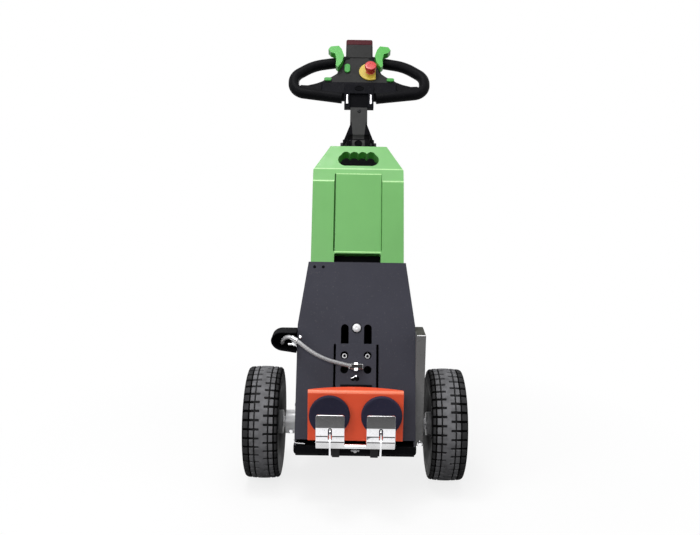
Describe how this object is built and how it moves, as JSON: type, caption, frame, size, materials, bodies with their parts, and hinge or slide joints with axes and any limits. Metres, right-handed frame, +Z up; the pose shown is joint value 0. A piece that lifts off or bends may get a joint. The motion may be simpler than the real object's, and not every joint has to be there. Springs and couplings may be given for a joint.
{
  "type": "electric tow tractor",
  "caption": "Walk-behind electric tow tractor with pneumatic drive wheels, a swivel castor, a lift-out battery, a tilting tiller with loop grips and a hook coupling between rubber buffers.",
  "frame": {"origin": "on the floor, under the middle of the bounding box", "axes": "+X to the right as seen from the coupling end, +Y away from the coupling towards the operator, +Z up"},
  "size_m": [0.5034, 0.7028, 1.0609],
  "materials": {
    "tyre": "dusty black, matte",
    "rim_grey": "satin paint",
    "frame_black": "satin black paint",
    "plate_grey": "satin dark slate paint",
    "hood_grey": "gloss dark grey paint",
    "box_grey": "gloss grey paint",
    "coupling_orange": "satin orange paint",
    "buffer_rubber": "matte rubber",
    "plated_steel": "bright zinc plate",
    "braid_steel": "braided wire",
    "drive_iron": "cast and painted",
    "battery_green": "moulded, light satin",
    "contact_black": "moulded, matte",
    "head_black": "moulded, fine grain",
    "grip_rubber": "soft grip, matte",
    "lever_green": "moulded, satin",
    "stop_red": "moulded, gloss",
    "stop_yellow": "moulded, satin",
    "belly_red": "moulded, gloss",
    "castor_tread": "solid tread"
  },
  "bodies": {
    "chassis": {"front_plate": "plate_grey", "side_panels": "hood_grey", "rear_hood": "hood_grey", "front_beam": "frame_black", "rear_base": "frame_black", "battery_tray": "frame_black", "mast": "frame_black", "carriage": "plate_grey", "coupling_plate": "coupling_orange", "coupling_gussets": "coupling_orange", "buffers": "buffer_rubber", "hooks": "plated_steel", "hook_ribs": "plated_steel", "hook_bar": "plated_steel", "side_box": "box_grey", "release_cup": "frame_black", "release_cable": "braid_steel", "cable_fitting": "plated_steel", "drive_unit": "drive_iron", "axle_housings": "rim_grey", "castor_plate": "plated_steel"},
    "wheel_left": {"tyre_left": "tyre", "rim_left": "rim_grey", "axle_left": "plated_steel"},
    "wheel_right": {"tyre_right": "tyre", "rim_right": "rim_grey", "axle_right": "plated_steel"},
    "castor_fork": {"castor_fork": "plated_steel", "castor_axle": "plated_steel"},
    "castor_wheel": {"castor_hub": "rim_grey", "castor_tyre": "castor_tread"},
    "tiller": {"tiller_pin": "plated_steel", "tiller_shaft": "head_black", "head_clamp": "head_black", "head_housing": "head_black", "grips": "grip_rubber", "throttle_levers": "lever_green", "belly_switch": "belly_red", "stop_plate": "stop_yellow", "stop_button": "stop_red", "oval_button": "lever_green", "wing_buttons": "lever_green"},
    "battery": {"battery_case": "battery_green", "battery_contact": "contact_black"}
  },
  "joints": [
    {"name": "wheel_left_spin", "type": "hinge", "parent": "chassis", "child": "wheel_left", "pos_m": [-0.2115, -0.1174, 0.13], "axis": [1, 0, 0], "continuous": true},
    {"name": "wheel_right_spin", "type": "hinge", "parent": "chassis", "child": "wheel_right", "pos_m": [0.2115, -0.1174, 0.13], "axis": [1, 0, 0], "continuous": true},
    {"name": "castor_swivel", "type": "hinge", "parent": "chassis", "child": "castor_fork", "pos_m": [0, 0.1176, 0.15], "axis": [0, 0, 1], "continuous": true},
    {"name": "castor_spin", "type": "hinge", "parent": "castor_fork", "child": "castor_wheel", "pos_m": [0, 0.0756, 0.0625], "axis": [1, 0, 0], "continuous": true},
    {"name": "tiller_tilt", "type": "hinge", "parent": "chassis", "child": "tiller", "pos_m": [0, 0.15072, 0.77414], "axis": [-1, 0, 0], "range_deg": [0, 55], "stiffness_Nm_per_rad": 9, "springref_deg": -51.57},
    {"name": "battery_lift", "type": "slide", "parent": "chassis", "child": "battery", "axis": [0, 0.3746, 0.9272], "range_m": [0, 0.2]}
  ]
}
